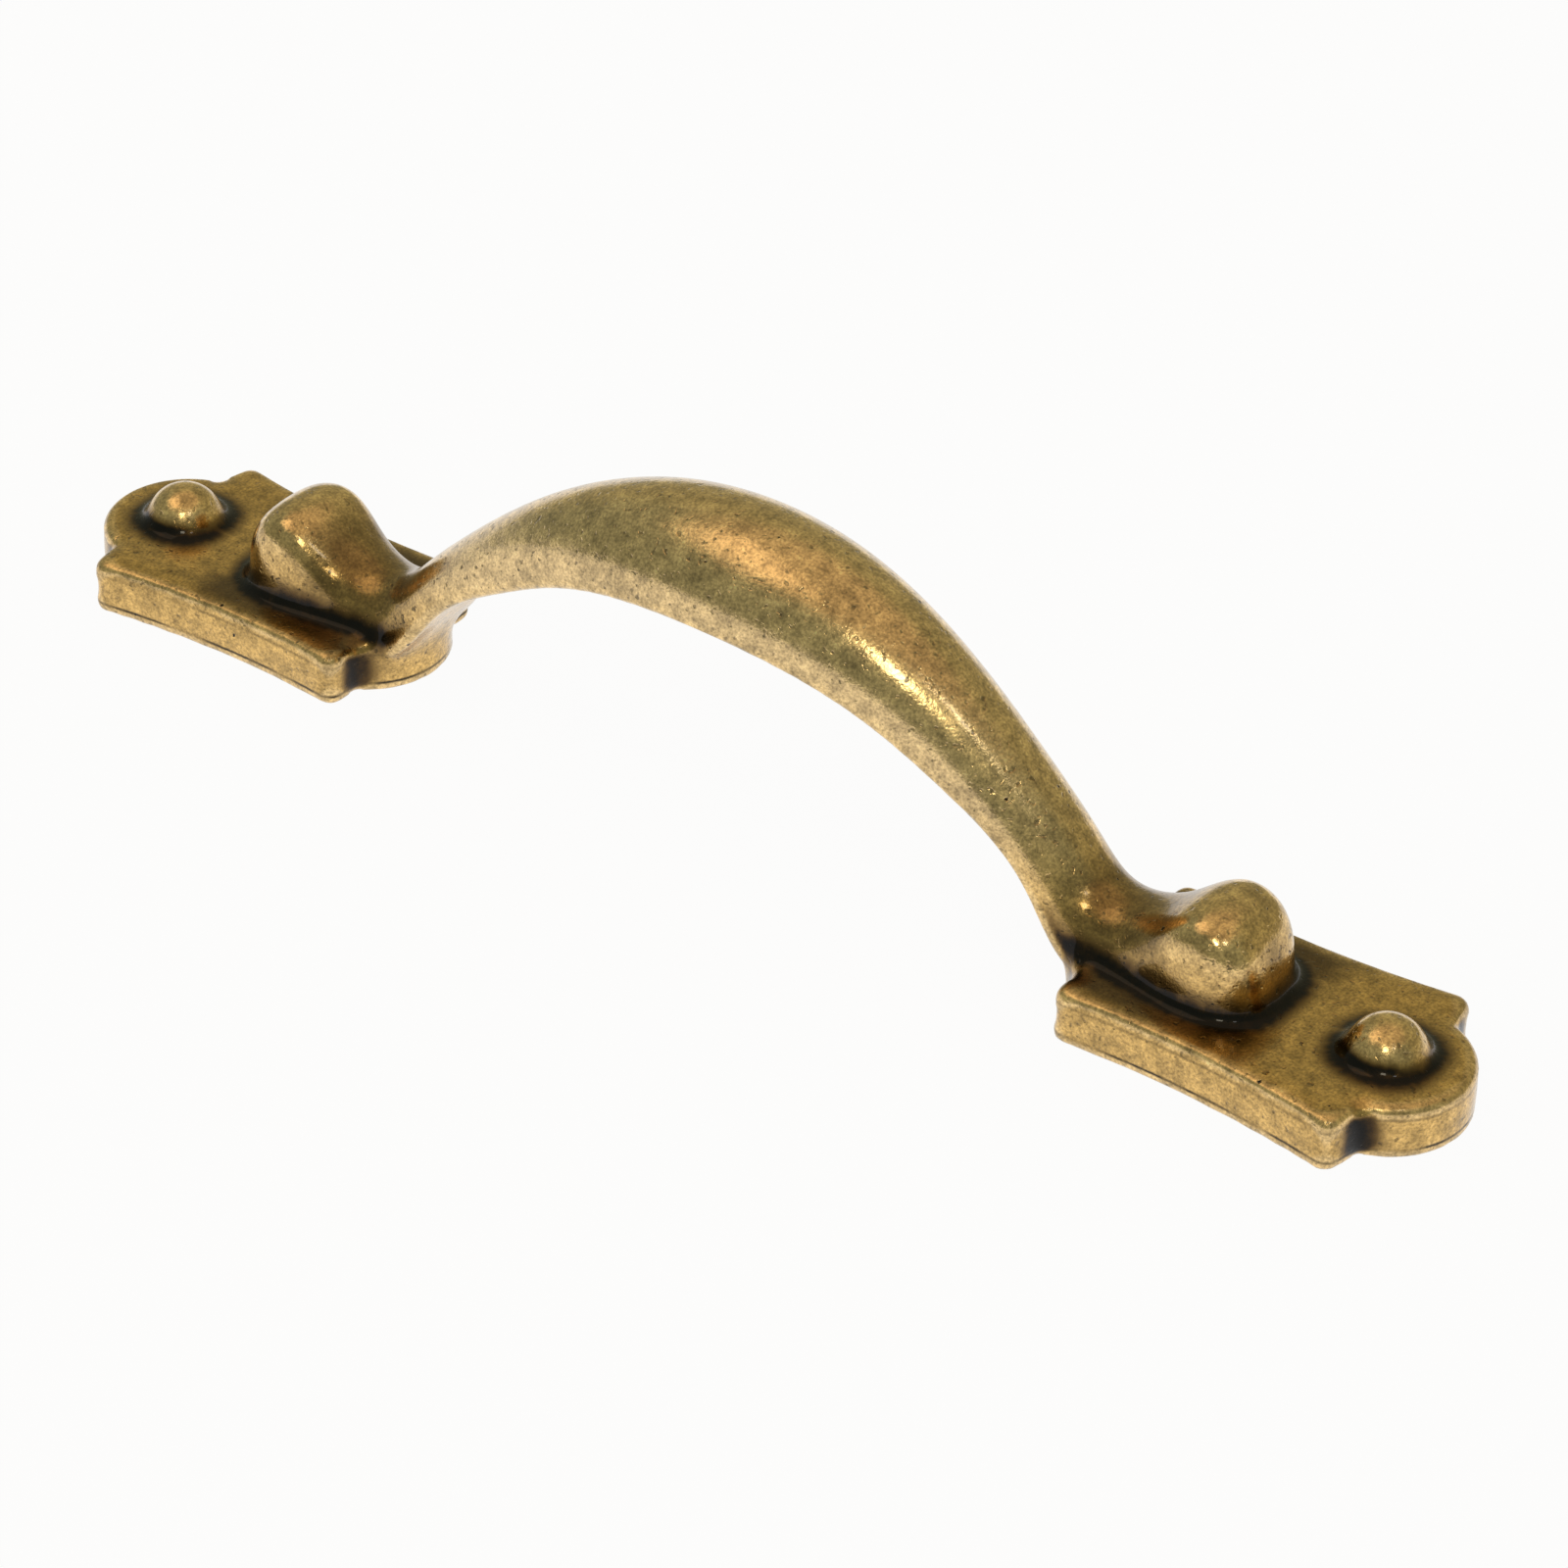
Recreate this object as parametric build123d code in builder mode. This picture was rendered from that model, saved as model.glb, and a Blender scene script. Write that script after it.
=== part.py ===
"""Fixed arch drawer pull, die-cast in one piece.

An arched, domed handle runs down into a bulb foot at each end. Each foot stands on an eared plate
with a round lobe at both ends, and the outer lobe carries a dummy rivet. A blind tapped hole under
each bulb takes a fixing screw from inside the drawer.

X runs along the pull, Y across it and Z out from the drawer front. The origin lies on the mounting
face, half way between the screws. Sizes are in millimetres, and a reach is measured along X from
the centre of the screw.
"""

import os
from math import asin, cos, pi, radians, sin, tan

from build123d import *

# Fixing screws
hole_spacing = 76.2
tap_hole_radius = 1.73
tap_hole_depth = 7.0
countersink_radius = 2.2
countersink_angle = 90.0

# End plates
plate_thickness = 3.86
plate_inner_reach = 9.15
plate_inner_width = 15.0
plate_waist_reach = 0.6
plate_waist_width = 14.2
plate_outer_reach = 11.6
plate_outer_width = 16.6
ear_slope = 0.19
corner_radius = 1.0
notch_radius = 0.8
top_edge_radius = 0.8
bottom_edge_chamfer = 0.3

# Round lobes at both ends of a plate
inner_lobe_reach = 6.1
inner_lobe_radius = 5.65
outer_lobe_reach = 10.4
outer_lobe_radius = 5.65

# Dummy rivets
rivet_radius = 2.77
rivet_sink = 0.26
rivet_fillet = 0.6

# Arch of the handle. Its underside falls away from the middle by a power of x to the arch's foot, which is
# set in from the tip of the inner lobe, and the wrist is the narrowest place, short of that tip
arch_rise = 17.15
arch_foot_z = 2.45
arch_foot_set_in = 1.65
arch_power = 2.15
crown_thickness = 6.25
crown_width = 11.6
wrist_gap = 2.35
wrist_thickness = 3.4
wrist_width = 7.0
lower_edge_radius = 0.55

# Bulb feet, each from the valley above the inner lobe over a shoulder to the crest and a blunt nose
foot_sink = 1.6
valley_set_in = 2.95
valley_z = 7.2
valley_width = 7.4
valley_tilt = 16.0
shoulder_reach = 5.1
shoulder_z = 8.2
shoulder_width = 7.7
shoulder_tilt = 6.0
crest_reach = 1.7
crest_z = 10.1
crest_width = 8.6
nose_reach = 2.7
nose_power = 2.5
cove_radius = 0.8

# Fullness of the domed sections: how far their curve's handles reach, as shares of height and half width
arch_flank = 0.45
arch_crown = 0.6
bulb_flank = 1.4
bulb_crown = 0.85

# Number of sections that the skin of the handle runs over, on each side
arch_sections = 4
nose_sections = 5

# How much of their own height the flank and crown handles of a fifth-degree curve lend to its middle
flank_weight = 10 / 32
crown_weight = 20 / 32

# Places worked out from the sizes above
screw_x = hole_spacing / 2
lobe_tip_x = screw_x - inner_lobe_reach - inner_lobe_radius
wrist_x = lobe_tip_x - wrist_gap
arch_foot_x = lobe_tip_x + arch_foot_set_in
valley_x = lobe_tip_x + valley_set_in
crest_x = screw_x - crest_reach
outer_lobe_x = screw_x + outer_lobe_reach
foot_z = plate_thickness - foot_sink

# The last section of a nose is half as high as the foot is sunk, so that the plate covers it
nose_end_share = foot_sink / 2 / (crest_z - foot_z)
nose_end_turn = asin((1 - nose_end_share**nose_power) ** (1 / nose_power)) / (pi / 2)


def swell(middle, end, x, end_x):
    """Size at x of what swells smoothly from its size at end_x to its size at the middle."""
    return end + (middle - end) * (1 + cos(pi * min(abs(x) / end_x, 1))) / 2


def arch_section(x):
    """Plane square to the underside of the arch at x, and the section's width, height and fullness."""
    share = abs(x) / arch_foot_x
    drop = arch_rise - arch_foot_z
    fall = drop * arch_power / arch_foot_x * share ** (arch_power - 1)
    slope = fall if x < 0 else -fall
    plane = Plane((x, 0, arch_rise - drop * share**arch_power), x_dir=(0, 1, 0), z_dir=(1, 0, slope))
    width = swell(crown_width, wrist_width, x, wrist_x)
    height = swell(crown_thickness, wrist_thickness, x, arch_foot_x)
    return plane, width, height, 0


def foot_section(side, x, top_z, width, tilt=0):
    """Plane through a bulb whose section tops out at x and top_z, and its width, height and fullness."""
    lean = tan(radians(tilt))
    rise = top_z - foot_z
    plane = Plane((side * (x - rise * lean), 0, foot_z), x_dir=(0, 1, 0), z_dir=(1, 0, -side * lean))
    fullness = min((x - wrist_x) / (crest_x - wrist_x), 1) ** 2
    return plane, width, rise / cos(radians(tilt)), fullness


def nose_section(side, turn):
    """Section of a bulb's nose, which closes in from the crest as turn goes from 0 to 1."""
    along = sin(turn * pi / 2)
    share = (1 - along**nose_power) ** (1 / nose_power)
    x = crest_x + (crest_reach + nose_reach) * along
    return foot_section(side, x, foot_z + (crest_z - foot_z) * share, crest_width * share)


def side_sections(side):
    """Sections from beside the middle of the handle to the nose of the bulb, on one side."""
    arch = [arch_section(side * wrist_x * (n + 1) / arch_sections) for n in range(arch_sections)]
    saddle = [
        foot_section(side, valley_x, valley_z, valley_width, valley_tilt),
        foot_section(side, screw_x - shoulder_reach, shoulder_z, shoulder_width, shoulder_tilt),
    ]
    nose = [nose_section(side, nose_end_turn * n / nose_sections) for n in range(nose_sections + 1)]
    return arch + saddle + nose


# Handle with both bulbs, as one skin over domed sections with a flat underside
with BuildPart() as handle:
    for plane, width, height, fullness in side_sections(-1)[::-1] + [arch_section(0)] + side_sections(1):
        half = width / 2
        edge = min(lower_edge_radius, half / 2, height / 2)
        dome = height - edge
        flank = (arch_flank + (bulb_flank - arch_flank) * fullness) * dome
        crown_half = (arch_crown + (bulb_crown - arch_crown) * fullness) * half
        crown = (dome - flank_weight * flank) / crown_weight
        with BuildSketch(plane):
            with BuildLine():
                Bezier(
                    (-half, edge),
                    (-half, edge + flank),
                    (-crown_half, edge + crown),
                    (crown_half, edge + crown),
                    (half, edge + flank),
                    (half, edge),
                )
                TangentArc((half, edge), (half - edge, 0), tangent=(0, -1))
                Line((half - edge, 0), (edge - half, 0))
                TangentArc((-half, edge), (edge - half, 0), tangent=(0, -1))
            make_face()
    loft()

# Right-hand end plate with its ears, lobes and dummy rivet
with BuildPart() as right_plate:
    with BuildSketch() as outline:
        with BuildLine():
            front = ThreePointArc(
                (screw_x - plate_inner_reach, -plate_inner_width / 2),
                (screw_x - plate_waist_reach, -plate_waist_width / 2),
                (screw_x + plate_outer_reach, -plate_outer_width / 2),
            )
            back = mirror(front, about=Plane.XZ)
            Line(front @ 0, back @ 0)
            apex = (screw_x + plate_outer_reach + ear_slope * plate_outer_width / 2, 0)
            Polyline(front @ 1, apex, back @ 1)
        make_face()
        with Locations((screw_x - inner_lobe_reach, 0)):
            Circle(inner_lobe_radius)
        with Locations((outer_lobe_x, 0)):
            Circle(outer_lobe_radius)
        fillet(outline.vertices().filter_by(lambda v: abs(v.Y) < plate_waist_width / 2), notch_radius)
        fillet(outline.vertices().filter_by(lambda v: abs(v.Y) > plate_waist_width / 2), corner_radius)
    extrude(amount=plate_thickness)
    fillet(right_plate.faces().sort_by(Axis.Z)[-1].edges(), top_edge_radius)
    chamfer(right_plate.faces().sort_by(Axis.Z)[0].edges(), bottom_edge_chamfer)
    with Locations((outer_lobe_x, 0, plate_thickness - rivet_sink)):
        Sphere(rivet_radius)
    top_edges = right_plate.edges().filter_by_position(Axis.Z, plate_thickness, plate_thickness)
    fillet(top_edges.filter_by(lambda e: e.is_closed), rivet_fillet)

# Left-hand end plate
with BuildPart() as left_plate:
    mirror(right_plate.part, about=Plane.YZ)

# The casting, with a cove where the feet stand on the plates and blind tapped holes from the back
with BuildPart() as pull:
    add(handle.part)
    add(right_plate.part)
    add(left_plate.part)
    fillet(new_edges(handle.part, right_plate.part, left_plate.part, combined=pull.part), cove_radius)
    with Locations(Plane((0, 0, 0), x_dir=(1, 0, 0), z_dir=(0, 0, -1))):
        with GridLocations(hole_spacing, 0, 2, 1):
            CounterSinkHole(tap_hole_radius, countersink_radius, tap_hole_depth, countersink_angle)

os.makedirs("parts", exist_ok=True)
pull.part.label = "pull"
export_step(pull.part, "parts/pull.step")
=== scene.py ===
"""Looks of a fixed arch drawer pull, die-cast and finished in antique brass, lying on a white table."""

import math

import bmesh
import bpy
from mathutils import Matrix, Vector


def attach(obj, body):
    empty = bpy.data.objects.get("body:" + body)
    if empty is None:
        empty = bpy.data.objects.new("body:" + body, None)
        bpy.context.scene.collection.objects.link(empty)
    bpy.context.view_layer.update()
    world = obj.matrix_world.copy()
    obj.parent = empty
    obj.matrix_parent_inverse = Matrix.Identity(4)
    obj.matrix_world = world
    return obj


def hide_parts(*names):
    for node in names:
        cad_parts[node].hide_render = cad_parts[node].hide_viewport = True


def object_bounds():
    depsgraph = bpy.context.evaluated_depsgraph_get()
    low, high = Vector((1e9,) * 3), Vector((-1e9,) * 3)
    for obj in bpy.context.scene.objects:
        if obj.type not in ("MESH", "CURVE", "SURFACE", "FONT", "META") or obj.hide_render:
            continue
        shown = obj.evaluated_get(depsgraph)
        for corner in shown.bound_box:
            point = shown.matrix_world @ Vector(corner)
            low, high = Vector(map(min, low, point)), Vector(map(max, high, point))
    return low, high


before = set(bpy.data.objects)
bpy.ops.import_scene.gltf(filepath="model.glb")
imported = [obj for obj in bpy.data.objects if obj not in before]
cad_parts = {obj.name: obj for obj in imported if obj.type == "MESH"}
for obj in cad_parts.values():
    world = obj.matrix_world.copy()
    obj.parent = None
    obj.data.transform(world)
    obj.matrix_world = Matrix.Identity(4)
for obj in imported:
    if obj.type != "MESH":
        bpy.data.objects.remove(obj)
cad_box = [list(corner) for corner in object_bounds()]

bl_info = {
    "name": "Arch Drawer Pull",
    "version": (1, 0, 0),
    "blender": (4, 5, 0),
    "location": "View3D > Sidebar > Drawer Pull",
    "description": "Dresses an arch drawer pull in worn antique brass and sets it on a studio table",
    "category": "Object",
}

MM = 0.001

# Sockets of a Mix node that mixes colours
MIX_FIRST, MIX_SECOND, MIX_RESULT = 6, 7, 2

# Copies of points of the solid that lie closer than this are merged
MERGE_DISTANCE = 0.001 * MM

# Passes that average the neighbours of a point: to find the broad faces, to measure the bend, to even
# each of these out, to take the steps off the even mesh, and to fill the throats
BROAD_PASSES, BROAD_EVEN_PASSES = 6, 3
BEND_PASSES, BEND_EVEN_PASSES = 5, 2
STEP_PASSES = 4
FILL_PASSES = 150

# An edge is full at so many times the bend at which it starts, and beside it the smoothing starts at
# this weight
EDGE_SPAN = 2.0
BROAD_START = 0.5

# Value of the waves' noise that stays on the solid's surface, so that nearly all of the skin lies inside it
WAVE_TOP = 0.75

# Inward bends, in millimetres, past which the skin counts as a throat or as a notch
THROAT_BEND = -0.009
NOTCH_BEND = -0.005

# A throat is filled in full up to this distance. An edge beside it is filled less from the first of
# these outward bends, in millimetres, and not at all past the second
FILL_CORE = 0.3 * MM
FILL_EDGE = (0.008, 0.025)

# Groove in which the handle stands on its plates: its height, half its width, how far its wall faces
# front or back at least, where it starts to climb towards the middle, how fast, and where it ends at the
# arch's lower edge
GROOVE_HEIGHT = 4.2 * MM
GROOVE_HALF = 0.3 * MM
GROOVE_WALL = 0.6
CLIMB_START = 27.3 * MM
CLIMB_SLOPE = 0.55
CLIMB_END = 25.7 * MM

# Share of a distance that counts along each axis: patina climbs, and in the notches it stands from
# top to bottom
CLIMBING = (1, 1, 0.6)
STANDING = (1, 1, 0)

# Notches in the plates' walls: how much their wall may tilt, how high they reach and how patina spreads
# from them, and how far it stays away from walls that don't face along the pull, from the plates' inner
# halves, from tilted faces and from the top edges
NOTCH_TILT = 0.4
NOTCH_TOP = 3.4 * MM
NOTCH_SPREAD, NOTCH_START = 0.25 / MM, 0.35
SIDE_FACING, SIDE_AWAY = 0.8, 0.7 * MM
INNER_END, INNER_AWAY = 38.1 * MM, 0.2 * MM
TILT_START, TILT_AWAY = 0.2, 3 * MM
TOP_START, TOP_AWAY = 3.6 * MM, 5.0

# Most of a noise pattern lies between these values
NOISE = (0.3, 0.7)

# Patches to the width of a cloud, and ripples and specks to the width of a grain
PATCHES = 4
RIPPLES = 0.4
SPECKS = 0.45

# Pits: how uneven their shape is, which cells have one, their largest size and their black core as
# shares, and their depth
PIT_SHAPE = (0.12, 0.12, 0.12)
PIT_CHOICE = 0.4
PIT_SIZE = 0.11
PIT_CORE = 0.5
PIT_DEPTH = 0.05 * MM

# Specks: the noise values between which they darken, and how dark they get
SPECK_NOISE = (0.65, 0.75)
SPECK_DARK = 0.5

# Hairlines: their directions, their lean, how many lie in a metre, their noise values and how much they
# lighten
HAIR_TURNS = (0.5, 1.6, 2.7)
HAIR_LEAN = 0.4
HAIR_COUNT = (6 / MM, 0.6 / MM, 6 / MM)
HAIR_NOISE = (0.72, 0.8)
HAIR_LIGHT = 0.15

# Darkest and lightest share of the plating's colour in clouds, patches and grain
CLOUD_TONE = (0.84, 1.1)
PATCH_TONE = (0.72, 1.2)
GRAIN_TONE = (0.58, 1.28)

# Heights between which the brass turns to that of the handled arch
HANDLED_HEIGHT = (5 * MM, 12 * MM)

# Rubbing: how much the patches vary it, the bends in millimetres between which it grows, and its most
RUB_PATCH = 0.03
RUB_BEND = (0.024, 0.05)
RUB_MOST = 0.8

# Border of the patina: how many millimetres an edge holds it off for each millimetre that it bends, how
# far patches and grain draw it out and how far it is set back for them, where the thick and the thin
# patina are full, and the thin one's reach against the thick one's
EDGE_HOLD = 32.0
BORDER_PATCH, BORDER_GRAIN, BORDER_BACK = -0.4, -0.2, 0.4
THICK_FULL, THIN_FULL = 0.05, 0.2
THIN_REACH = 2.5

# Dark lines on the plates' walls: their darkness round the foot and at the brow, where the line is a painted
# dark reflection under the top edge, half their width at the core and at the border, and where the clouds
# break them and by how much
FOOT_DARK, BROW_REFLECTION_DARK = 0.95, 0.45
LINE_HALF = (0.03 * MM, 0.17 * MM)
BREAK_NOISE = (0.4, 0.58)
BREAK_SHARE = (0.15, 1.0)

# Zones of the pull: their amount, and ramps from nothing to all of it along an axis, in millimetres
# from the middle. The rivets' heads get a painted highlight in the rubbed colour, the saddles between arch
# and bulbs painted shade, and the strips of plate beside the feet a painted dark reflection, both in the
# patina's colours, of which this share is thick
HEAD_GLINT = (0.9, (("X", 44.5, 45.0), ("Z", 4.5, 5.2)))
SADDLE_SHADE = (0.45, (("X", 26.0, 28.0), ("X", 35.6, 33.4), ("Z", 4.8, 5.8)))
STRIP_REFLECTION = (
    0.75,
    (
        ("X", 28.0, 29.5), ("X", 43.5, 40.5), ("Y", 3.4, 4.0), ("Y", 7.2, 5.6),
        ("Z", 4.6, 4.1), ("Z", 3.2, 3.7),
    ),
)
ZONE_THICK = 0.5

# Roughness of the plating in clouds, what patina, rubbing and the rivets' heads add to it, and the
# heights between which rubbing turns from what it adds on the plates' edges to what it adds on high spots
ROUGH = (0.18, 0.26)
PATINA_ROUGH = 0.1
RUB_ROUGH = (0.12, -0.1)
RUB_HEIGHT = (3.9 * MM, 4.4 * MM)
HEAD_ROUGH = 0.08

# Depth of the ripples against that of the grain, and the clear lacquer
RIPPLE_DEPTH = 2
LACQUER, LACQUER_ROUGH = 0.35, 0.06

# Share of the table's look that is plain white: the rest of it takes the shadow
PLAIN_WHITE = 0.95

# Directions between which the walls turn to the back wall, and the walls to the ceiling
BACK_WALL = (0.0, 0.6)
CEILING = (0.68, 0.9)

# Lamps: name, turn from the front and height above the table in degrees, distance and sides in metres,
# brightness and colour
LAMPS = (
    ("key_lamp", 27.0, 45.0, 0.9, 0.15, 0.15, 10.0, "#FFF6DC"),
    ("side_lamp", 60.0, 49.0, 0.9, 0.08, 0.08, 7.0, "#FFFFFF"),
    ("overhead_softbox", -52.0, 60.0, 0.8, 0.5, 0.4, 0.7, "#FFE1C0"),
)

# Camera: its place and the point that it looks at, in metres, and its roll in degrees, as fitted to the
# photograph, its lens and sensor in millimetres, and the nearest distance that it sees in metres
EYE = (0.1762054, -0.2365820, 0.2061390)
AIM = (-0.0002491, 0.0044904, 0.0)
ROLL = 1.43612
LENS = 127.36
SENSOR = 36.0
NEAREST = 0.01


def colour(code):
    """Linear red, green and blue of an sRGB hex value."""
    shares = [int(code[n : n + 2], 16) / 255 for n in (1, 3, 5)]
    return tuple(s / 12.92 if s <= 0.04045 else ((s + 0.055) / 1.055) ** 2.4 for s in shares)


def add(tree, kind, inputs=None, **settings):
    """Adds a node to a tree with its settings, and sets or links its inputs."""
    node = tree.nodes.new(kind)
    for name, value in settings.items():
        setattr(node, name, value)
    for key, value in (inputs or {}).items():
        if isinstance(value, bpy.types.NodeSocket):
            tree.links.new(value, node.inputs[key])
        else:
            node.inputs[key].default_value = value
    return node


class CastingSettings(bpy.types.PropertyGroup):
    """Shape of the casting's skin."""

    grid: bpy.props.FloatProperty(
        name="Grid", description="Spacing of the even mesh over the casting",
        default=0.23 * MM, min=0.15 * MM, unit="LENGTH", precision=5,
    )
    smoothing: bpy.props.IntProperty(
        name="Smoothing", description="Passes that even out the broad faces and leave the edges",
        default=40, min=1,
    )
    crisp: bpy.props.FloatProperty(
        name="Crisp Edges", description="Bend past which the skin counts as an edge and keeps its shape",
        default=0.03 * MM, min=0.01 * MM, unit="LENGTH", precision=5,
    )
    wave_height: bpy.props.FloatProperty(
        name="Wave Height", description="Depth of the slow waves that hand polishing leaves",
        default=0.02 * MM, min=0.0, unit="LENGTH", precision=5,
    )
    wave_size: bpy.props.FloatProperty(
        name="Wave Size", description="Width of the polishing waves",
        default=5.0 * MM, min=1.0 * MM, unit="LENGTH", precision=4,
    )
    hollow: bpy.props.FloatProperty(
        name="Hollow", description="Inward bend past which the skin counts as a hollow that holds patina",
        default=0.018 * MM, min=0.001 * MM, unit="LENGTH", precision=6,
    )
    throat: bpy.props.FloatProperty(
        name="Throat", description="Distance from the middle up to which a hollow lies under the arch",
        default=27.8 * MM, min=0.0, unit="LENGTH", precision=4,
    )
    throat_reach: bpy.props.FloatProperty(
        name="Throat Reach", description="Distance over which the throat is filled to a soft curve",
        default=2.2 * MM, min=0.1 * MM, unit="LENGTH", precision=4,
    )


class FinishSettings(bpy.types.PropertyGroup):
    """Colours and grain of the antique brass."""

    brass: bpy.props.FloatVectorProperty(
        name="Brass", description="Plating as it shows on the plates and the feet",
        default=colour("#D3AC67"), subtype="COLOR", min=0.0, max=1.0,
    )
    handled: bpy.props.FloatVectorProperty(
        name="Handled Brass", description="Plating paled by hands on the arch",
        default=colour("#DEBF89"), subtype="COLOR", min=0.0, max=1.0,
    )
    # Also painted on the rivets' heads as a highlight
    rubbed: bpy.props.FloatVectorProperty(
        name="Rubbed Brass", description="Plating rubbed bright on edges and high spots",
        default=colour("#E3C288"), subtype="COLOR", min=0.0, max=1.0,
    )
    # Also painted as shade in the saddles and as a dark reflection on the strips beside the feet
    amber: bpy.props.FloatVectorProperty(
        name="Amber", description="Thin patina at the border of the hollows",
        default=colour("#4C3513"), subtype="COLOR", min=0.0, max=1.0,
    )
    # Also the dark lines at the plates' foot and brow, the brow's a painted dark reflection, and the thick
    # share of the painted shade and dark reflection in saddles and strips
    patina: bpy.props.FloatVectorProperty(
        name="Patina", description="Thick patina in the hollows",
        default=colour("#100D0A"), subtype="COLOR", min=0.0, max=1.0,
    )
    patina_reach: bpy.props.FloatProperty(
        name="Patina Reach", description="How far the patina spreads out of the hollows before it thins out",
        default=0.6 * MM, min=0.0, unit="LENGTH", precision=5,
    )
    grain: bpy.props.FloatProperty(
        name="Grain", description="Width of the fine grain of the tumbled plating",
        default=0.2 * MM, min=0.05 * MM, unit="LENGTH", precision=5,
    )
    grain_depth: bpy.props.FloatProperty(
        name="Grain Depth", description="Depth of the fine grain",
        default=0.009 * MM, min=0.0, unit="LENGTH", precision=6,
    )
    cloud: bpy.props.FloatProperty(
        name="Clouds", description="Width of the cloudy patches of toning",
        default=4.0 * MM, min=1.0 * MM, unit="LENGTH", precision=4,
    )
    pit_spacing: bpy.props.FloatProperty(
        name="Pit Spacing", description="Distance between the dark pits of the casting",
        default=1.7 * MM, min=0.5 * MM, unit="LENGTH", precision=4,
    )
    # Dark line drawn round the plates' foot at this height
    foot_line: bpy.props.FloatProperty(
        name="Foot Line", description="Height of the dark line that the wheel missed round the plates' foot",
        default=0.72 * MM, min=0.0, unit="LENGTH", precision=5,
    )
    # A painted dark reflection: the dark line under the plates' rounded top edge
    painted_brow_reflection: bpy.props.FloatProperty(
        name="Brow Line", description="Height of the fainter dark line under the top edge of the plates",
        default=2.95 * MM, min=0.0, unit="LENGTH", precision=5,
    )


class StageSettings(bpy.types.PropertyGroup):
    """Table and room."""

    floor_size: bpy.props.FloatProperty(
        name="Table Size", description="Side of the square table top", default=3.0, min=0.5, unit="LENGTH",
    )
    floor: bpy.props.FloatVectorProperty(
        name="Table Colour", description="Colour of the table top",
        default=colour("#F6F6F4"), subtype="COLOR", min=0.0, max=1.0,
    )
    room: bpy.props.FloatProperty(
        name="Room Light", description="Brightness of the studio's dim walls and ceiling",
        default=0.7, min=0.0,
    )
    room_tint: bpy.props.FloatVectorProperty(
        name="Room Tint", description="Colour of the walls round the camera",
        default=colour("#B6BBA6"), subtype="COLOR", min=0.0, max=1.0,
    )
    wall_tint: bpy.props.FloatVectorProperty(
        name="Back Wall Tint", description="Colour of the warmer wall behind the table",
        default=colour("#C8C39E"), subtype="COLOR", min=0.0, max=1.0,
    )
    ceiling_tint: bpy.props.FloatVectorProperty(
        name="Ceiling Tint", description="Colour of the warm, lit ceiling",
        default=colour("#EFDAB6"), subtype="COLOR", min=0.0, max=1.0,
    )


def evened(tree, place, passes, weight):
    """Place of the points after smoothing by a weight, with the shrinkage that it brings given back."""
    given = {"Iterations": passes, "Weight": weight}
    even = add(
        tree, "GeometryNodeBlurAttribute", {"Value": place, **given}, data_type="FLOAT_VECTOR"
    ).outputs[0]
    lost = add(tree, "ShaderNodeVectorMath", {0: place, 1: even}, operation="SUBTRACT").outputs[0]
    lost = add(
        tree, "GeometryNodeBlurAttribute", {"Value": lost, **given}, data_type="FLOAT_VECTOR"
    ).outputs[0]
    return add(tree, "ShaderNodeVectorMath", {0: even, 1: lost}, operation="ADD").outputs[0]


def outward_bend(tree, place, normal, passes):
    """How far each point stands out from the average of its neighbours, along its normal."""
    near = add(
        tree, "GeometryNodeBlurAttribute", {"Value": place, "Iterations": passes}, data_type="FLOAT_VECTOR"
    ).outputs[0]
    out = add(tree, "ShaderNodeVectorMath", {0: place, 1: near}, operation="SUBTRACT").outputs[0]
    return add(tree, "ShaderNodeVectorMath", {0: out, 1: normal}, operation="DOT_PRODUCT").outputs["Value"]


def broad_faces(tree, place, normal, crisp):
    """Weight that is 1 on broad faces and 0 on edges and in hollows."""
    bend = outward_bend(tree, place, normal, BROAD_PASSES)
    bend = add(tree, "ShaderNodeMath", {0: bend}, operation="ABSOLUTE").outputs[0]
    most = add(tree, "ShaderNodeMath", {0: crisp, 1: EDGE_SPAN}, operation="MULTIPLY").outputs[0]
    broad = add(
        tree, "ShaderNodeMapRange",
        {"Value": bend, "From Min": crisp, "From Max": most, "To Min": 1.0, "To Max": 0.0},
    ).outputs[0]
    broad = add(
        tree, "GeometryNodeBlurAttribute",
        {"Value": broad, "Iterations": BROAD_EVEN_PASSES}, data_type="FLOAT",
    ).outputs[0]
    return add(
        tree, "ShaderNodeMapRange", {"Value": broad, "From Min": BROAD_START, "From Max": 1.0}
    ).outputs[0]


def filled_throats(tree, skin, place, bend, outside, reach):
    """Skin whose throats, where the arch's underside runs into the plates, are filled to a soft curve."""
    throat = add(tree, "ShaderNodeMath", {0: bend, 1: THROAT_BEND}, operation="LESS_THAN").outputs[0]
    throat = add(tree, "ShaderNodeMath", {0: throat, 1: outside}, operation="SUBTRACT").outputs[0]
    throats = add(
        tree, "GeometryNodeSeparateGeometry", {"Geometry": skin, "Selection": throat}, domain="POINT"
    ).outputs[0]
    away = add(tree, "GeometryNodeProximity", {0: throats}, target_element="POINTS").outputs["Distance"]
    near = add(
        tree, "ShaderNodeMapRange",
        {"Value": away, "From Min": FILL_CORE, "From Max": reach, "To Min": 1.0, "To Max": 0.0},
    ).outputs[0]
    edge_start, edge_full = FILL_EDGE
    flat = add(
        tree, "ShaderNodeMapRange",
        {"Value": bend, "From Min": edge_start, "From Max": edge_full, "To Min": 1.0, "To Max": 0.0},
    ).outputs[0]
    near = add(tree, "ShaderNodeMath", {0: near, 1: flat}, operation="MULTIPLY").outputs[0]
    filled = add(
        tree, "GeometryNodeBlurAttribute", {"Value": place, "Iterations": FILL_PASSES, "Weight": near},
        data_type="FLOAT_VECTOR",
    ).outputs[0]
    return add(tree, "GeometryNodeSetPosition", {"Geometry": skin, "Position": filled}).outputs[0]


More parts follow.
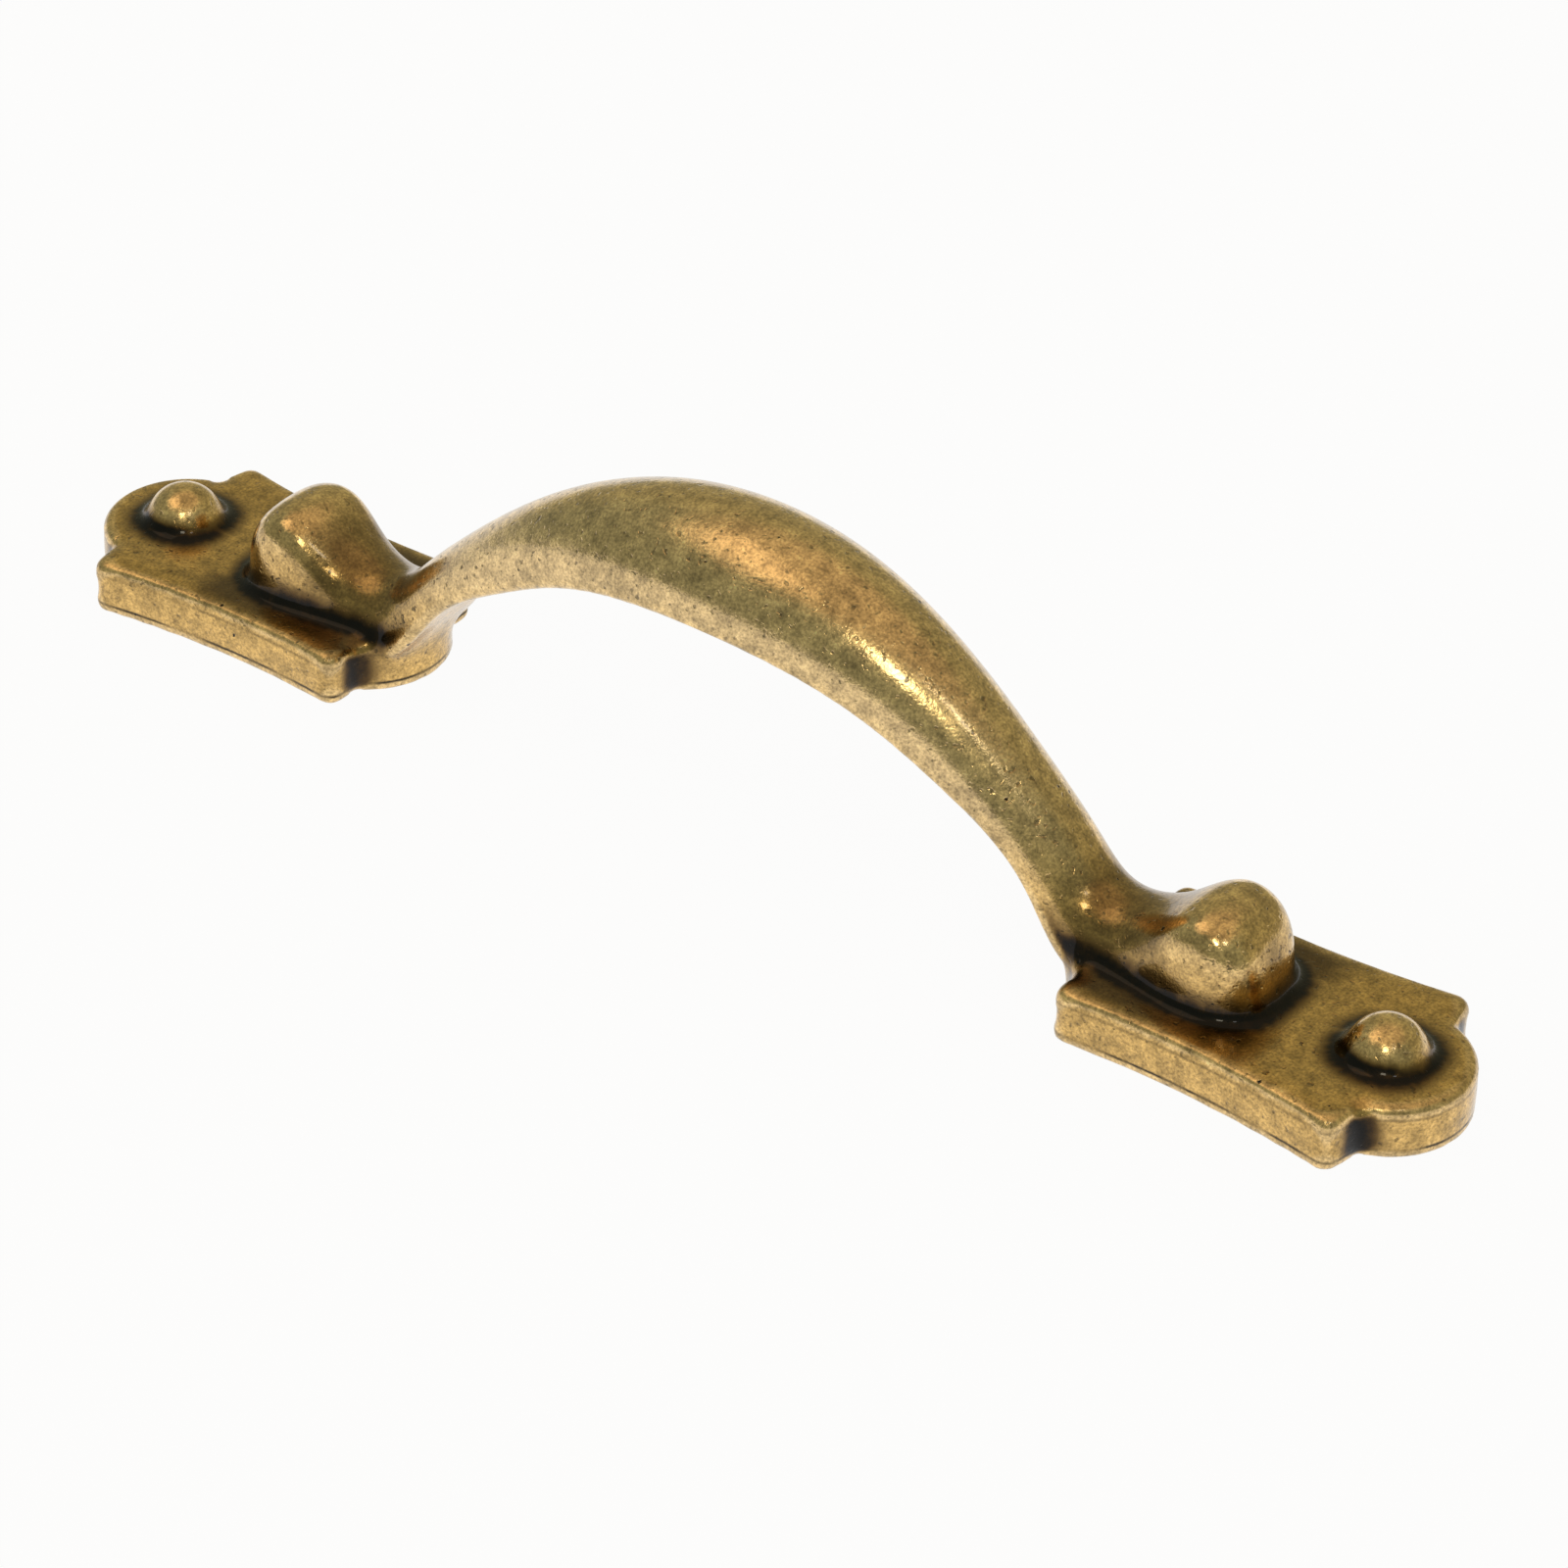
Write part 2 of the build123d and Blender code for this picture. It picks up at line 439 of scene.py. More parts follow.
def groove_line(tree, along, height, facing):
    """Marks the groove in which the handle stands on its plates, up to the arch's lower edge."""
    climb = add(tree, "ShaderNodeMath", {0: CLIMB_START, 1: along}, operation="SUBTRACT").outputs[0]
    climb = add(tree, "ShaderNodeMath", {0: climb, 1: 0.0}, operation="MAXIMUM").outputs[0]
    climb = add(
        tree, "ShaderNodeMath", {0: climb, 1: CLIMB_SLOPE, 2: GROOVE_HEIGHT}, operation="MULTIPLY_ADD"
    ).outputs[0]
    line = add(tree, "ShaderNodeMath", {0: height, 1: climb, 2: GROOVE_HALF}, operation="COMPARE").outputs[0]
    steep = add(
        tree, "ShaderNodeMath", {0: facing["Y"], 1: GROOVE_WALL}, operation="GREATER_THAN"
    ).outputs[0]
    line = add(tree, "ShaderNodeMath", {0: line, 1: steep}, operation="MULTIPLY").outputs[0]
    past = add(tree, "ShaderNodeMath", {0: along, 1: CLIMB_END}, operation="GREATER_THAN").outputs[0]
    return add(tree, "ShaderNodeMath", {0: line, 1: past}, operation="MULTIPLY").outputs[0]


def distance_to(tree, skin, place, chosen, shares):
    """Distance of each point to the nearest chosen one, of which a share counts along each axis."""
    points = add(
        tree, "GeometryNodeSeparateGeometry", {"Geometry": skin, "Selection": chosen}, domain="POINT"
    ).outputs[0]
    pressed = add(tree, "ShaderNodeVectorMath", {0: place, 1: shares}, operation="MULTIPLY").outputs[0]
    points = add(tree, "GeometryNodeSetPosition", {"Geometry": points, "Position": pressed}).outputs[0]
    return add(
        tree, "GeometryNodeProximity", {0: points, "Sample Position": pressed}, target_element="POINTS"
    ).outputs["Distance"]


def notch_distance(tree, skin, place, bend, outside, along, height, facing):
    """Distance to the notches of the plates' walls, longer where patina stays away from them."""
    upright = add(tree, "ShaderNodeMath", {0: facing["Z"], 1: NOTCH_TILT}, operation="LESS_THAN").outputs[0]
    below = add(tree, "ShaderNodeMath", {0: height, 1: NOTCH_TOP}, operation="LESS_THAN").outputs[0]
    bent = add(tree, "ShaderNodeMath", {0: bend, 1: NOTCH_BEND}, operation="LESS_THAN").outputs[0]
    for test in (below, outside, bent):
        upright = add(tree, "ShaderNodeMath", {0: upright, 1: test}, operation="MULTIPLY").outputs[0]
    beside = distance_to(tree, skin, place, upright, STANDING)
    spread = add(
        tree, "ShaderNodeMath", {0: beside, 1: NOTCH_SPREAD, 2: NOTCH_START}, operation="MULTIPLY_ADD"
    ).outputs[0]
    beside = add(tree, "ShaderNodeMath", {0: beside, 1: spread}, operation="MULTIPLY").outputs[0]
    side = add(tree, "ShaderNodeMath", {0: SIDE_FACING, 1: facing["X"]}, operation="SUBTRACT").outputs[0]
    inner = add(tree, "ShaderNodeMath", {0: along, 1: INNER_END}, operation="LESS_THAN").outputs[0]
    tilt = add(tree, "ShaderNodeMath", {0: facing["Z"], 1: TILT_START}, operation="SUBTRACT").outputs[0]
    tilt = add(tree, "ShaderNodeMath", {0: tilt, 1: 0.0}, operation="MAXIMUM").outputs[0]
    rise = add(tree, "ShaderNodeMath", {0: height, 1: TOP_START}, operation="SUBTRACT").outputs[0]
    rise = add(tree, "ShaderNodeMath", {0: rise, 1: 0.0}, operation="MAXIMUM").outputs[0]
    for share, away in ((side, SIDE_AWAY), (inner, INNER_AWAY), (tilt, TILT_AWAY), (rise, TOP_AWAY)):
        beside = add(
            tree, "ShaderNodeMath", {0: share, 1: away, 2: beside}, operation="MULTIPLY_ADD"
        ).outputs[0]
    return beside


def skin_tree():
    """Node tree that evens the skin, waves it a little and measures its hollows and its edges."""
    tree = bpy.data.node_groups.new("Casting Skin", "GeometryNodeTree")
    tree.interface.new_socket("Geometry", in_out="INPUT", socket_type="NodeSocketGeometry")
    for name, kind in (
        ("Smoothing", "NodeSocketInt"),
        ("Crisp Edges", "NodeSocketFloat"),
        ("Wave Height", "NodeSocketFloat"),
        ("Wave Size", "NodeSocketFloat"),
        ("Hollow", "NodeSocketFloat"),
        ("Throat", "NodeSocketFloat"),
        ("Throat Reach", "NodeSocketFloat"),
        ("Lowest", "NodeSocketVector"),
        ("Highest", "NodeSocketVector"),
        ("Finish", "NodeSocketMaterial"),
    ):
        tree.interface.new_socket(name, in_out="INPUT", socket_type=kind)
    tree.interface.new_socket("Geometry", in_out="OUTPUT", socket_type="NodeSocketGeometry")
    given = add(tree, "NodeGroupInput").outputs

    place = add(tree, "GeometryNodeInputPosition").outputs[0]
    normal = add(tree, "GeometryNodeInputNormal").outputs[0]

    # The steps of the even mesh go first, on edges too, and then the broad faces are smoothed
    even = evened(tree, place, STEP_PASSES, 1.0)
    skin = add(tree, "GeometryNodeSetPosition", {"Geometry": given["Geometry"], "Position": even}).outputs[0]
    broad = broad_faces(tree, place, normal, given["Crisp Edges"])
    even = evened(tree, place, given["Smoothing"], broad)
    skin = add(tree, "GeometryNodeSetPosition", {"Geometry": skin, "Position": even}).outputs[0]

    # Slow polishing waves
    per_metre = add(tree, "ShaderNodeMath", {0: 1.0, 1: given["Wave Size"]}, operation="DIVIDE").outputs[0]
    wave = add(
        tree, "ShaderNodeTexNoise",
        {"Vector": place, "Scale": per_metre, "Detail": 1.0}, noise_dimensions="3D",
    ).outputs[0]
    wave = add(tree, "ShaderNodeMath", {0: wave, 1: WAVE_TOP}, operation="SUBTRACT").outputs[0]
    wave = add(tree, "ShaderNodeMath", {0: wave, 1: given["Wave Height"]}, operation="MULTIPLY").outputs[0]
    push = add(tree, "ShaderNodeVectorMath", {0: normal, "Scale": wave}, operation="SCALE").outputs[0]
    skin = add(tree, "GeometryNodeSetPosition", {"Geometry": skin, "Offset": push}).outputs[0]

    # Nothing leaves the solid's box
    inside = place
    for side, limit in (("MAXIMUM", given["Lowest"]), ("MINIMUM", given["Highest"])):
        inside = add(tree, "ShaderNodeVectorMath", {0: inside, 1: limit}, operation=side).outputs[0]
    skin = add(tree, "GeometryNodeSetPosition", {"Geometry": skin, "Position": inside}).outputs[0]

    # How far the skin bends outwards, in millimetres: an edge bends by more than zero and a hollow by less
    bend = outward_bend(tree, place, normal, BEND_PASSES)
    bend = add(tree, "ShaderNodeMath", {0: bend, 1: 1 / MM}, operation="MULTIPLY").outputs[0]
    bend = add(
        tree, "GeometryNodeBlurAttribute", {"Value": bend, "Iterations": BEND_EVEN_PASSES}, data_type="FLOAT"
    ).outputs[0]

    # Which way a point faces and where it lies, whatever its side of the pull
    facing = add(tree, "ShaderNodeVectorMath", {0: normal}, operation="ABSOLUTE").outputs[0]
    facing = add(tree, "ShaderNodeSeparateXYZ", {0: facing}).outputs
    height = add(tree, "ShaderNodeSeparateXYZ", {0: place}).outputs["Z"]
    along = add(tree, "ShaderNodeSeparateXYZ", {0: place}).outputs["X"]
    along = add(tree, "ShaderNodeMath", {0: along}, operation="ABSOLUTE").outputs[0]
    outside = add(
        tree, "ShaderNodeMath", {0: along, 1: given["Throat"]}, operation="GREATER_THAN"
    ).outputs[0]

    skin = filled_throats(tree, skin, place, bend, outside, given["Throat Reach"])

    # Two measures that the finish reads: the bend, and the distance to the nearest hollow in millimetres
    skin = add(
        tree, "GeometryNodeStoreNamedAttribute",
        {"Geometry": skin, "Name": "edge", "Value": bend}, data_type="FLOAT", domain="POINT",
    ).outputs[0]
    hollow = add(tree, "ShaderNodeMath", {0: bend, 1: given["Hollow"]}, operation="LESS_THAN").outputs[0]
    hollow = add(tree, "ShaderNodeMath", {0: hollow, 1: outside}, operation="MULTIPLY").outputs[0]
    line = groove_line(tree, along, height, facing)
    hollow = add(tree, "ShaderNodeMath", {0: hollow, 1: line}, operation="MAXIMUM").outputs[0]
    away = distance_to(tree, skin, place, hollow, CLIMBING)
    beside = notch_distance(tree, skin, place, bend, outside, along, height, facing)
    away = add(tree, "ShaderNodeMath", {0: away, 1: beside}, operation="MINIMUM").outputs[0]
    away = add(tree, "ShaderNodeMath", {0: away, 1: 1 / MM}, operation="MULTIPLY").outputs[0]
    skin = add(
        tree, "GeometryNodeStoreNamedAttribute",
        {"Geometry": skin, "Name": "hollow", "Value": away}, data_type="FLOAT", domain="POINT",
    ).outputs[0]

    skin = add(tree, "GeometryNodeSetShadeSmooth", {"Geometry": skin}).outputs[0]
    skin = add(tree, "GeometryNodeRealizeInstances", {"Geometry": skin}).outputs[0]
    skin = add(tree, "GeometryNodeSetMaterial", {"Geometry": skin, "Material": given["Finish"]}).outputs[0]
    add(tree, "NodeGroupOutput", {"Geometry": skin})
    return tree


def zone(tree, place, amount, ramps):
    """Amount in a part of the pull, which fades by ramps in millimetres from the middle."""
    size = add(tree, "ShaderNodeVectorMath", {0: place}, operation="ABSOLUTE").outputs[0]
    size = add(tree, "ShaderNodeSeparateXYZ", {0: size}).outputs
    for axis, start, end in ramps:
        share = add(
            tree, "ShaderNodeMapRange", {"Value": size[axis], "From Min": start * MM, "From Max": end * MM},
            interpolation_type="SMOOTHSTEP",
        ).outputs[0]
        amount = add(tree, "ShaderNodeMath", {0: amount, 1: share}, operation="MULTIPLY").outputs[0]
    return amount


def pits_and_specks(tree, finish, place, grain):
    """Darkness of the pits, uneven dots in some cells of an uneven grid, and of scraps of patina."""
    cell = add(
        tree, "ShaderNodeVectorMath", {0: place, "Scale": 1 / finish.pit_spacing}, operation="SCALE"
    ).outputs[0]
    cell = add(
        tree, "ShaderNodeVectorMath", {0: grain, 1: PIT_SHAPE, 2: cell}, operation="MULTIPLY_ADD"
    ).outputs[0]
    cells = add(tree, "ShaderNodeTexVoronoi", {"Vector": cell, "Scale": 1.0}).outputs
    chosen = add(tree, "ShaderNodeSeparateColor", {0: cells["Color"]}).outputs
    border = add(
        tree, "ShaderNodeMapRange",
        {"Value": chosen[0], "From Min": PIT_CHOICE, "From Max": 1.0, "To Min": 0.0, "To Max": PIT_SIZE},
    ).outputs[0]
    core = add(tree, "ShaderNodeMath", {0: border, 1: PIT_CORE}, operation="MULTIPLY").outputs[0]
    pit = add(
        tree, "ShaderNodeMapRange",
        {"Value": cells["Distance"], "From Min": core, "From Max": border, "To Min": 1.0, "To Max": 0.0},
    ).outputs[0]
    speck = add(
        tree, "ShaderNodeTexNoise", {"Vector": place, "Scale": SPECKS / finish.grain, "Detail": 1.0}
    ).outputs[0]
    start, full = SPECK_NOISE
    speck = add(
        tree, "ShaderNodeMapRange",
        {"Value": speck, "From Min": start, "From Max": full, "To Min": 0.0, "To Max": SPECK_DARK},
    ).outputs[0]
    return add(tree, "ShaderNodeMath", {0: pit, 1: speck}, operation="MAXIMUM").outputs[0]


def hairlines(tree, place):
    """Brightness of the short scratches of the polishing wheel."""
    hair = 0.0
    start, full = HAIR_NOISE
    for turn in HAIR_TURNS:
        lie = add(
            tree, "ShaderNodeMapping",
            {"Vector": place, "Rotation": (turn, HAIR_LEAN, turn), "Scale": HAIR_COUNT},
        ).outputs[0]
        strand = add(tree, "ShaderNodeTexNoise", {"Vector": lie, "Scale": 1.0, "Detail": 0.0}).outputs[0]
        strand = add(
            tree, "ShaderNodeMapRange", {"Value": strand, "From Min": start, "From Max": full}
        ).outputs[0]
        hair = add(tree, "ShaderNodeMath", {0: strand, 1: hair}, operation="MAXIMUM").outputs[0]
    return hair


def antique_brass(finish):
    """Antique brass: plated, blackened, rubbed back by hand and lacquered.

    The eye gets a brown-gold mirror that is a little soft, darker clouds, fine dark grain, brighter edges
    and near-black hollows with an amber rim. The real grain is too fine to show, so it is drawn as coarse
    as it needs to be, and the hairlines with it.
    """
    material = bpy.data.materials.new("antique_brass")
    material.use_nodes = True
    tree = material.node_tree
    tree.nodes.clear()
    place = add(tree, "ShaderNodeTexCoord").outputs["Object"]
    hollow = add(tree, "ShaderNodeAttribute", attribute_name="hollow").outputs["Fac"]
    edge = add(tree, "ShaderNodeAttribute", attribute_name="edge").outputs["Fac"]
    height = add(tree, "ShaderNodeSeparateXYZ", {0: place}).outputs["Z"]
    cloud = add(
        tree, "ShaderNodeTexNoise",
        {"Vector": place, "Scale": 1 / finish.cloud, "Detail": 3.0, "Roughness": 0.6},
    ).outputs[0]
    patch = add(
        tree, "ShaderNodeTexNoise", {"Vector": place, "Scale": PATCHES / finish.cloud, "Detail": 2.0}
    ).outputs[0]
    grain = add(
        tree, "ShaderNodeTexNoise",
        {"Vector": place, "Scale": 1 / finish.grain, "Detail": 2.0, "Roughness": 0.6},
    ).outputs[0]
    ripple = add(
        tree, "ShaderNodeTexNoise",
        {"Vector": place, "Scale": RIPPLES / finish.grain, "Detail": 2.0, "Roughness": 0.7},
    ).outputs[0]
    pit = pits_and_specks(tree, finish, place, grain)
    hair = hairlines(tree, place)
    least, most = NOISE

    # Broad faces are toned in clouds, patches and grain, and hairlines lighten them
    tone = 1.0
    for pattern, (dark, light) in ((cloud, CLOUD_TONE), (patch, PATCH_TONE), (grain, GRAIN_TONE)):
        share = add(
            tree, "ShaderNodeMapRange",
            {"Value": pattern, "From Min": least, "From Max": most, "To Min": dark, "To Max": light},
        ).outputs[0]
        tone = add(tree, "ShaderNodeMath", {0: tone, 1: share}, operation="MULTIPLY").outputs[0]
    tone = add(
        tree, "ShaderNodeMath", {0: hair, 1: HAIR_LIGHT, 2: tone}, operation="MULTIPLY_ADD"
    ).outputs[0]

    # The arch is paled by hands, edges are rubbed bright, and the rivets' heads get a painted highlight in
    # the rubbed colour
    start, full = HANDLED_HEIGHT
    pale = add(
        tree, "ShaderNodeMapRange", {"Value": height, "From Min": start, "From Max": full},
        interpolation_type="SMOOTHSTEP",
    ).outputs[0]
    metal = add(
        tree, "ShaderNodeMix",
        {"Factor": pale, MIX_FIRST: (*finish.brass, 1), MIX_SECOND: (*finish.handled, 1)}, data_type="RGBA",
    ).outputs[MIX_RESULT]
    rub = add(tree, "ShaderNodeMath", {0: patch, 1: RUB_PATCH, 2: edge}, operation="MULTIPLY_ADD").outputs[0]
    start, full = RUB_BEND
    rub = add(
        tree, "ShaderNodeMapRange", {"Value": rub, "From Min": start, "From Max": full, "To Max": RUB_MOST},
        interpolation_type="SMOOTHSTEP",
    ).outputs[0]
    # The rivets' heads take the rubbed colour as a painted highlight
    head_glint = zone(tree, place, *HEAD_GLINT)
    bright = add(tree, "ShaderNodeMath", {0: rub, 1: head_glint}, operation="MAXIMUM").outputs[0]
    metal = add(
        tree, "ShaderNodeMix",
        {"Factor": bright, MIX_FIRST: metal, MIX_SECOND: (*finish.rubbed, 1)}, data_type="RGBA",
    ).outputs[MIX_RESULT]
    metal = add(tree, "ShaderNodeVectorMath", {0: metal, "Scale": tone}, operation="SCALE").outputs[0]

    # Patina lies in the hollows, thick at first and then thin, with a ragged border, and edges hold it off
    raised = add(tree, "ShaderNodeMath", {0: edge, 1: 0.0}, operation="MAXIMUM").outputs[0]
    ragged = hollow
    for pattern, share in ((raised, EDGE_HOLD), (patch, BORDER_PATCH), (grain, BORDER_GRAIN)):
        ragged = add(
            tree, "ShaderNodeMath", {0: pattern, 1: share, 2: ragged}, operation="MULTIPLY_ADD"
        ).outputs[0]
    ragged = add(tree, "ShaderNodeMath", {0: ragged, 1: BORDER_BACK}, operation="ADD").outputs[0]
    reach = finish.patina_reach / MM
    thick, thin = [
        add(
            tree, "ShaderNodeMapRange",
            {"Value": ragged, "From Min": full, "From Max": end, "To Min": 1.0, "To Max": 0.0},
            interpolation_type="SMOOTHSTEP",
        ).outputs[0]
        for full, end in ((THICK_FULL, reach), (THIN_FULL, reach * THIN_REACH))
    ]

    # Patina also lies in the pits; dark lines broken by the clouds run round the plates' foot and, as a
    # painted dark reflection, under their top edge; the saddles get painted shade and the strips beside the
    # feet a painted dark reflection
    start, full = BREAK_NOISE
    dark, light = BREAK_SHARE
    broken = add(
        tree, "ShaderNodeMapRange",
        {"Value": cloud, "From Min": start, "From Max": full, "To Min": dark, "To Max": light},
    ).outputs[0]
    core, border = LINE_HALF
    # The brow line is a painted dark reflection under the plates' top edge
    for level, depth in ((finish.foot_line, FOOT_DARK), (finish.painted_brow_reflection, BROW_REFLECTION_DARK)):
        line = add(tree, "ShaderNodeMath", {0: height, 1: level}, operation="SUBTRACT").outputs[0]
        line = add(tree, "ShaderNodeMath", {0: line}, operation="ABSOLUTE").outputs[0]
        line = add(
            tree, "ShaderNodeMapRange",
            {"Value": line, "From Min": core, "From Max": border, "To Min": depth, "To Max": 0.0},
        ).outputs[0]
        line = add(tree, "ShaderNodeMath", {0: line, 1: broken}, operation="MULTIPLY").outputs[0]
        thick = add(tree, "ShaderNodeMath", {0: thick, 1: line}, operation="MAXIMUM").outputs[0]
    thick = add(tree, "ShaderNodeMath", {0: thick, 1: pit}, operation="MAXIMUM").outputs[0]
    # Painted shade in the saddles and a painted dark reflection on the strips beside the feet
    for part in (SADDLE_SHADE, STRIP_REFLECTION):
        painted_dark_zone = zone(tree, place, *part)
        thin = add(tree, "ShaderNodeMath", {0: thin, 1: painted_dark_zone}, operation="MAXIMUM").outputs[0]
        painted_dark_zone = add(tree, "ShaderNodeMath", {0: painted_dark_zone, 1: ZONE_THICK}, operation="MULTIPLY").outputs[0]
        thick = add(tree, "ShaderNodeMath", {0: thick, 1: painted_dark_zone}, operation="MAXIMUM").outputs[0]
    for layer, tint in ((thin, finish.amber), (thick, finish.patina)):
        metal = add(
            tree, "ShaderNodeMix",
            {"Factor": layer, MIX_FIRST: metal, MIX_SECOND: (*tint, 1)}, data_type="RGBA",
        ).outputs[MIX_RESULT]

    # Rubbed edges of the plates are soft, and rubbed high spots above them glint
    smooth, dull = ROUGH
    rough = add(
        tree, "ShaderNodeMapRange",
        {"Value": cloud, "From Min": least, "From Max": most, "To Min": smooth, "To Max": dull},
    ).outputs[0]
    start, full = RUB_HEIGHT
    on_edges, above = RUB_ROUGH
    gloss = add(
        tree, "ShaderNodeMapRange",
        {"Value": height, "From Min": start, "From Max": full, "To Min": on_edges, "To Max": above},
    ).outputs[0]
    for layer, share in ((thick, PATINA_ROUGH), (rub, gloss), (head_glint, HEAD_ROUGH)):
        rough = add(
            tree, "ShaderNodeMath", {0: layer, 1: share, 2: rough}, operation="MULTIPLY_ADD"
        ).outputs[0]

    bump = add(
        tree, "ShaderNodeBump",
        {"Height": ripple, "Strength": 1.0, "Distance": finish.grain_depth * RIPPLE_DEPTH},
    ).outputs[0]
    bump = add(
        tree, "ShaderNodeBump",
        {"Height": grain, "Strength": 1.0, "Distance": finish.grain_depth, "Normal": bump},
    ).outputs[0]
    bump = add(
        tree, "ShaderNodeBump",
        {"Height": pit, "Strength": 1.0, "Distance": PIT_DEPTH, "Normal": bump}, invert=True,
    ).outputs[0]
    shader = add(
        tree, "ShaderNodeBsdfPrincipled",
        {
            "Base Color": metal, "Metallic": 1.0, "Roughness": rough, "Normal": bump,
            "Coat Weight": LACQUER, "Coat Roughness": LACQUER_ROUGH,
        },
    ).outputs[0]
    add(tree, "ShaderNodeOutputMaterial", {"Surface": shader})
    return material


def white_laminate(tint):
    """Matt white laminate: pure white to the eye and the metal, with a faint shadow under the pull."""
    material = bpy.data.materials.new("white_laminate")
    material.use_nodes = True
    tree = material.node_tree
    tree.nodes.clear()
    path = add(tree, "ShaderNodeLightPath").outputs
    seen = path["Is Camera Ray"]
    for ray in ("Is Glossy Ray", "Is Transmission Ray"):
        seen = add(tree, "ShaderNodeMath", {0: seen, 1: path[ray]}, operation="ADD").outputs[0]
    white = add(tree, "ShaderNodeMath", {0: seen, 1: PLAIN_WHITE}, operation="MULTIPLY").outputs[0]
    matt = add(tree, "ShaderNodeBsdfDiffuse", {"Color": (*tint, 1)}).outputs[0]
    glow = add(tree, "ShaderNodeEmission", {"Color": (1, 1, 1, 1), "Strength": 1.0}).outputs[0]
    both = add(tree, "ShaderNodeMixShader", {0: white, 1: matt, 2: glow}).outputs[0]
    add(tree, "ShaderNodeOutputMaterial", {"Surface": both})
    return material


def studio_room(settings):
    """World of plain walls, a warmer back wall and a lit ceiling, which the metal mirrors."""
    world = bpy.data.worlds.new("studio")
    world.use_nodes = True
    tree = world.node_tree
    tree.nodes.clear()
    way = add(tree, "ShaderNodeTexCoord").outputs["Generated"]
    way = add(tree, "ShaderNodeSeparateXYZ", {0: way}).outputs
    shade = (*settings.room_tint, 1)
    for axis, (start, full), tint in (
        ("Y", BACK_WALL, settings.wall_tint),
        ("Z", CEILING, settings.ceiling_tint),
    ):
        share = add(
            tree, "ShaderNodeMapRange", {"Value": way[axis], "From Min": start, "From Max": full},
            interpolation_type="SMOOTHSTEP",
        ).outputs[0]
        shade = add(
            tree, "ShaderNodeMix",
            {"Factor": share, MIX_FIRST: shade, MIX_SECOND: (*tint, 1)}, data_type="RGBA",
        ).outputs[MIX_RESULT]
    light = add(tree, "ShaderNodeBackground", {"Color": shade, "Strength": settings.room}).outputs[0]
    add(tree, "ShaderNodeOutputWorld", {"Surface": light})
    return world


class PULL_OT_casting(bpy.types.Operator):
    """Makes the casting's skin over the CAD solid and gives it its finish"""

    bl_idname = "pull.casting"
    bl_label = "Casting"

    def execute(self, context):
        settings = context.scene.pull_casting
        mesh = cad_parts["pull"].data.copy()
        mesh.name = "casting"
        loose = bmesh.new()
        loose.from_mesh(mesh)
        bmesh.ops.remove_doubles(loose, verts=loose.verts, dist=MERGE_DISTANCE)
        loose.to_mesh(mesh)
        loose.free()
        mesh.materials.clear()
        casting = bpy.data.objects.new("casting", mesh)
        context.scene.collection.objects.link(casting)

        remesh = casting.modifiers.new("Even Grid", "REMESH")
        remesh.mode = "VOXEL"
        remesh.voxel_size = settings.grid
        skin = casting.modifiers.new("Skin", "NODES")
        tree = skin_tree()
        skin.node_group = tree
        values = {
            "Smoothing": settings.smoothing,
            "Crisp Edges": settings.crisp,
            "Wave Height": settings.wave_height,
            "Wave Size": settings.wave_size,
            "Hollow": settings.hollow / -MM,
            "Throat": settings.throat,
            "Throat Reach": settings.throat_reach,
            "Lowest": cad_box[0],
            "Highest": cad_box[1],
            "Finish": antique_brass(context.scene.pull_finish),
        }
        for item in tree.interface.items_tree:
            if item.in_out == "INPUT" and item.name in values:
                skin[item.identifier] = values[item.name]

        finished = bpy.data.meshes.new_from_object(casting.evaluated_get(context.evaluated_depsgraph_get()))
        if not finished.polygons:
            raise RuntimeError("the casting's skin came out empty")
        casting.modifiers.clear()
        casting.data = finished
        finished.name = "casting"
        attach(casting, "root")
        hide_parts("pull")
        return {"FINISHED"}


